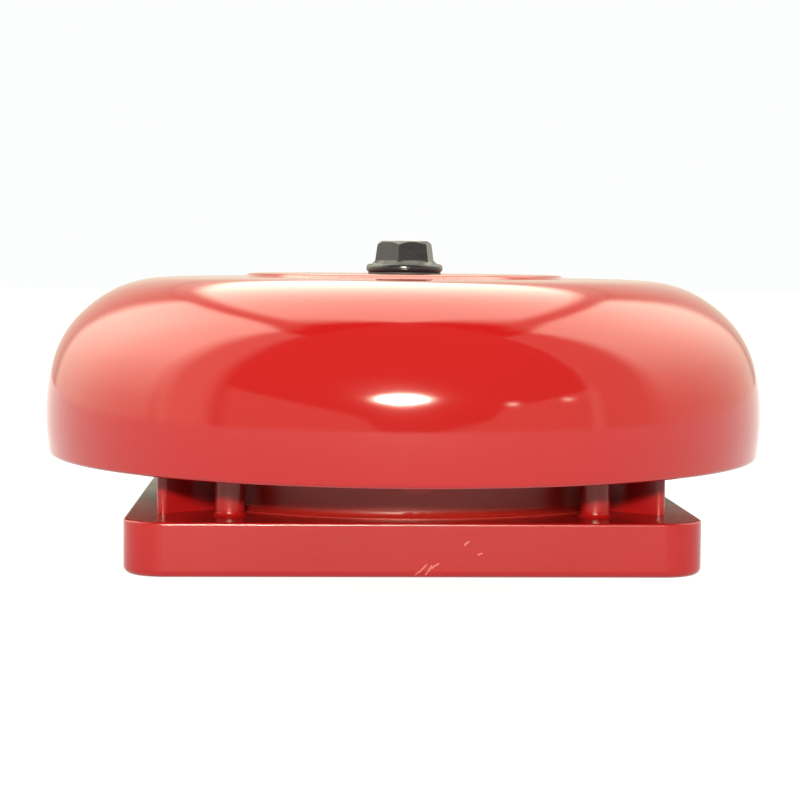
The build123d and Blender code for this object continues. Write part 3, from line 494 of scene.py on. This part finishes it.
left_wall = g.mul(
    band(azimuth, -WALLS_END, -LEFT_WALL_FROM, 5.0, 6.0),
    below_edge,
    g.ramp(azimuth, -WALLS_END, -120.0, 0.75, 1.0),
    g.add(1.7, g.ramp(elevation, -5.0, 45.0, 0.0, 4.2)),
)
right_wall = g.mul(
    band(azimuth, RIGHT_WALL_FROM, WALLS_END, 5.0, 5.0),
    below_edge,
    g.add(1.3, g.ramp(elevation, 0.0, 50.0, 0.0, 3.4)),
)
left_fill = g.mul(band(azimuth, -LEFT_WALL_FROM, -LEFT_FILL_FROM, 3.0, 5.0), below_edge, 1.6)
right_fill = g.mul(band(azimuth, RIGHT_FILL_FROM, RIGHT_WALL_FROM, 1.5, 4.0), below_edge, 1.0)
gap = g.mul(g.ramp(around, 70.0, 95.0), g.add(1.0, g.mul(over_edge, -1.0)), g.ramp(above, -2.0, 0.5))
top_light = g.mul(over_edge, g.ramp(around, 85.0, 125.0), 4.8)
rear = g.mul(g.ramp(around, 150.0, 156.0), below_edge, 0.9)
front = g.mul(in_front, 0.22)

# The pale table edge in front, with a low stretch in its middle.
notch = g.mul(band(azimuth, -12.0, 26.0, 3.0, 2.0), 3.5)
table_top = g.add(1.0, g.mul(around, 0.32), g.mul(notch, -1.0))
under_table_top = g.ramp(g.add(elevation, g.mul(table_top, -1.0)), -1.5, 0.5, 1.0, 0.0)
horizon = g.mul(under_table_top, in_front, 0.75)

# Azimuth, elevation, width, height and power: the front lamp with two soft skirts, then two small lamps.
LAMPS = [
    (-3.0, 16.3, 4.6, 2.0, 750.0),
    (-3.0, 17.5, 11.0, 5.0, 2.6),
    (-8.0, 24.0, 12.0, 6.0, 0.5),
    (31.0, 12.0, 1.6, 1.0, 16.0),
    (49.5, 13.5, 1.6, 1.0, 12.0),
]
lamps = g.add(*[spot(*lamp) for lamp in LAMPS])
light = g.add(left_wall, right_wall, left_fill, right_fill, gap, top_light, rear, front, horizon, lamps)
seen = g.node("ShaderNodeLightPath").outputs["Is Camera Ray"]
background = world.node_tree.nodes["Background"]
g.feed(background.inputs["Color"], g.mix(seen, rgb(1.05, 1.0, 0.80), rgb(0.975, 0.99, 0.98)))
g.feed(background.inputs["Strength"], g.add(light, g.mul(seen, g.add(1.0, g.mul(light, -1.0)))))

# Floor: plain, pale and bright enough to carry hardly any shadow.
floor_mesh = bpy.data.meshes.new("floor")
FLOOR_HALF = 4.0
FLOOR_Z = -0.05 * MM
floor_mesh.from_pydata(
    [(sx * FLOOR_HALF, sy * FLOOR_HALF, FLOOR_Z) for sx, sy in ((-1, -1), (1, -1), (1, 1), (-1, 1))],
    [],
    [(0, 1, 2, 3)],
)
floor = bpy.data.objects.new("floor", floor_mesh)
bpy.context.scene.collection.objects.link(floor)
floor_material, g, shader, at = new_material("floor_white")
shader.inputs["Base Color"].default_value = rgb(0.08, 0.08, 0.08)
shader.inputs["Roughness"].default_value = 0.9
shader.inputs["Emission Color"].default_value = rgb(0.97, 0.985, 0.975)
shader.inputs["Emission Strength"].default_value = 0.93
floor_mesh.materials.append(floor_material)

# Camera: long lens, a little above the rim, turned slightly to its right.
CAMERA_AT = (-20.25 * MM, -423 * MM, 58.5 * MM)
CAMERA_YAW, CAMERA_PITCH, CAMERA_ROLL = 0.0462, 0.0681, 0.0089
FOCAL_MM, SENSOR_MM = 89.55, 36.0
camera = bpy.data.objects.new("camera", bpy.data.cameras.new("camera"))
bpy.context.scene.collection.objects.link(camera)
camera.data.lens = FOCAL_MM
camera.data.sensor_width = SENSOR_MM
level = Vector((math.cos(CAMERA_YAW), -math.sin(CAMERA_YAW), 0))
ahead = Vector((math.sin(CAMERA_YAW), math.cos(CAMERA_YAW), 0))
forward = ahead * math.cos(CAMERA_PITCH) - Vector((0, 0, math.sin(CAMERA_PITCH)))
upright = ahead * math.sin(CAMERA_PITCH) + Vector((0, 0, math.cos(CAMERA_PITCH)))
right = level * math.cos(CAMERA_ROLL) + upright * math.sin(CAMERA_ROLL)
up = upright * math.cos(CAMERA_ROLL) - level * math.sin(CAMERA_ROLL)
turn = Matrix((right, up, -forward)).transposed()
camera.matrix_world = Matrix.Translation(CAMERA_AT) @ turn.to_4x4()
camera.data.clip_start = 0.01
bpy.context.scene.camera = camera
bpy.context.scene.view_settings.view_transform = "Standard"
